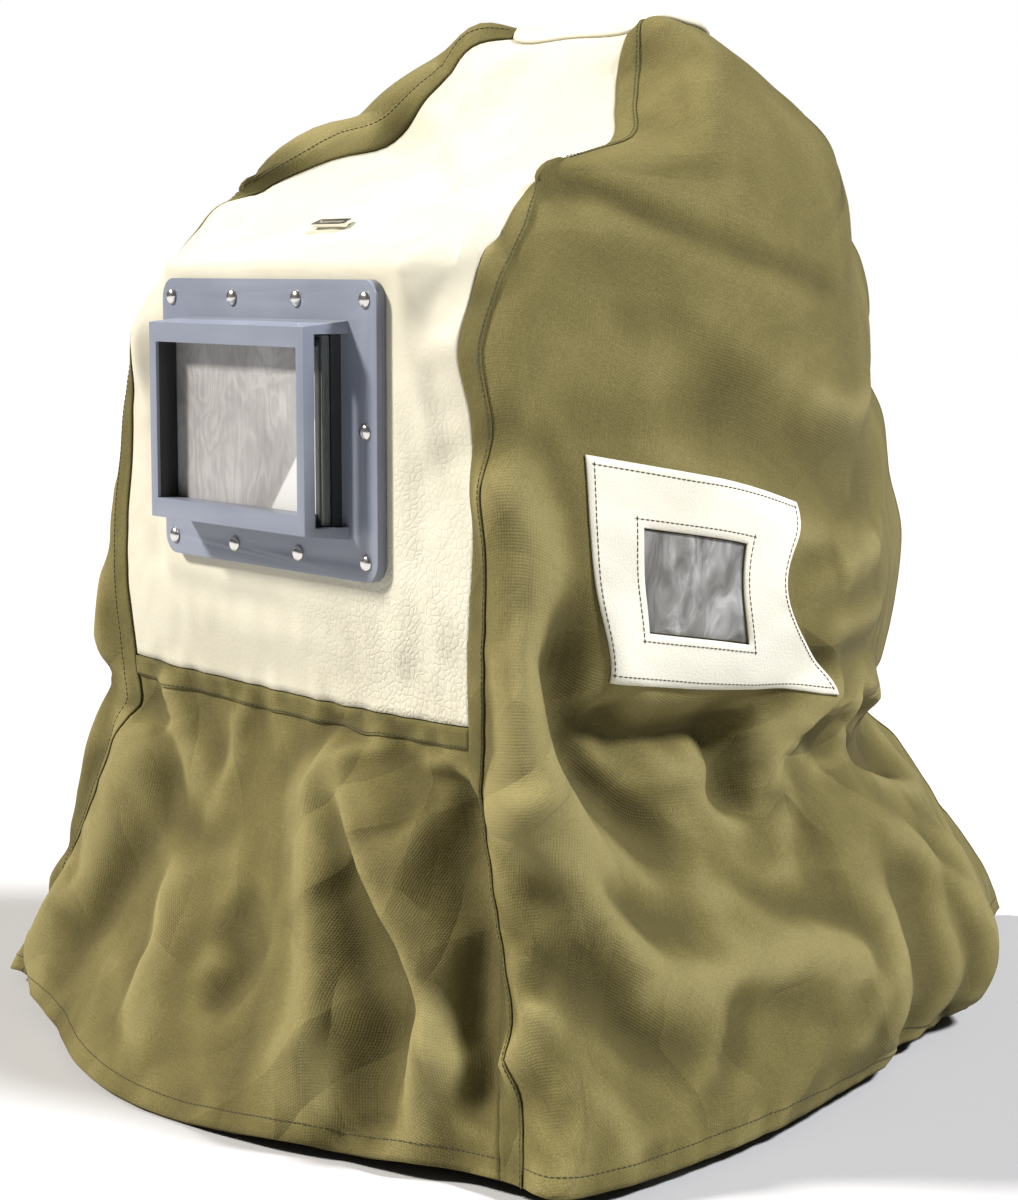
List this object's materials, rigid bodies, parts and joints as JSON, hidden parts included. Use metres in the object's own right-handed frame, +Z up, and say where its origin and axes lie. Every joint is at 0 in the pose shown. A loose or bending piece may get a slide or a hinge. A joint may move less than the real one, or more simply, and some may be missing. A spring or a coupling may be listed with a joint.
{
  "type": "sandblasting hood",
  "caption": "Full-head blasting hood: leather face over a canvas cape, riveted grey window housing with a sliding lens, and small clear side windows.",
  "frame": {"origin": "underside of the crown piece, where a head carries the hood", "axes": "+Z up, the window faces -Y, +X towards the wearer's left"},
  "size_m": [0.4538, 0.5603, 0.4794],
  "materials": {
    "canvas": "matte",
    "canvas_strip": "matte",
    "leather": "satin",
    "patch": "satin",
    "grey_plastic": "satin",
    "clear_plastic": "gloss",
    "glass": "gloss",
    "bright_metal": "polished"
  },
  "bodies": {
    "hood": {"face_panel": "leather", "bib_panel": "canvas", "bib_strip": "canvas_strip", "side_panel_left": "canvas", "side_panel_right": "canvas", "front_strip_left": "canvas_strip", "front_strip_right": "canvas_strip", "back_strip": "canvas_strip", "hem_band": "canvas_strip", "crown_piece": "leather", "side_patch_left": "patch", "side_patch_right": "patch", "side_window_left": "clear_plastic", "side_window_right": "clear_plastic", "window_frame": "grey_plastic", "forehead_eyelet": "bright_metal", "rivet_01": "bright_metal", "rivet_02": "bright_metal", "rivet_03": "bright_metal", "rivet_04": "bright_metal", "rivet_05": "bright_metal", "rivet_06": "bright_metal", "rivet_07": "bright_metal", "rivet_08": "bright_metal", "rivet_09": "bright_metal", "rivet_10": "bright_metal"},
    "lens": {"lens": "glass"}
  },
  "joints": [
    {"name": "lens_slide", "type": "slide", "parent": "hood", "child": "lens", "axis": [1, 0, 0], "range_m": [0, 0.125]}
  ]
}
